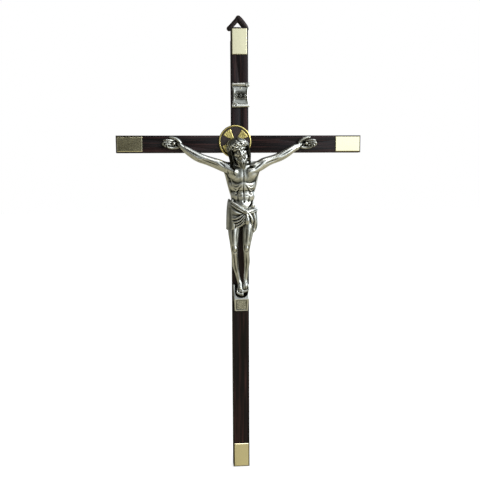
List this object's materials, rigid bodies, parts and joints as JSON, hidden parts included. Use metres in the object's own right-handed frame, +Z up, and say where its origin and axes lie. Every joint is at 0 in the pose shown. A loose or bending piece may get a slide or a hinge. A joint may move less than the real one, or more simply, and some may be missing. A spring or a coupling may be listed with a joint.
{
  "type": "wall crucifix",
  "caption": "Slender wooden wall cross with gilt end plates, a cast silver-coloured figure, halo, scroll and foot rest, and a swinging hanging ring.",
  "frame": {"origin": "centre of the crossing on the flat back face, which lies against the wall", "axes": "+Z up along the upright, +Y out of the back towards the wall, the front faces -Y and +X is to the viewer's right"},
  "size_m": [0.19, 0.0275, 0.3604],
  "materials": {
    "dark_wood": "oiled dark brown, fine straight grain",
    "gilt_plate": "polished",
    "antique_silver": "antiqued, dark in the recesses",
    "silver_pin": "polished",
    "gilt_halo": "gilt, hammered sectors and a polished rim",
    "dark_enamel": "satin dark brown",
    "burnished_ring": "burnished dark brown, mottled",
    "clip_steel": "burnished"
  },
  "bodies": {
    "cross": {"upright": "dark_wood", "crossbar": "dark_wood", "end_plate_top": "gilt_plate", "end_plate_bottom": "gilt_plate", "end_plate_left": "gilt_plate", "end_plate_right": "gilt_plate", "corpus": "antique_silver", "hand_nail_left": "silver_pin", "hand_nail_right": "silver_pin", "foot_nail": "silver_pin", "halo": "gilt_halo", "halo_enamel": "dark_enamel", "foot_rest": "antique_silver", "titulus_scroll": "antique_silver", "titulus_pin": "silver_pin", "ring_clip": "clip_steel", "clip_nails": "clip_steel"},
    "ring": {"hanging_ring": "burnished_ring"}
  },
  "joints": [
    {"name": "ring_swing", "type": "hinge", "parent": "cross", "child": "ring", "pos_m": [-0.0009, -0.002, 0.0879], "axis": [-1, 0, 0], "range_deg": [-75, 150]}
  ]
}
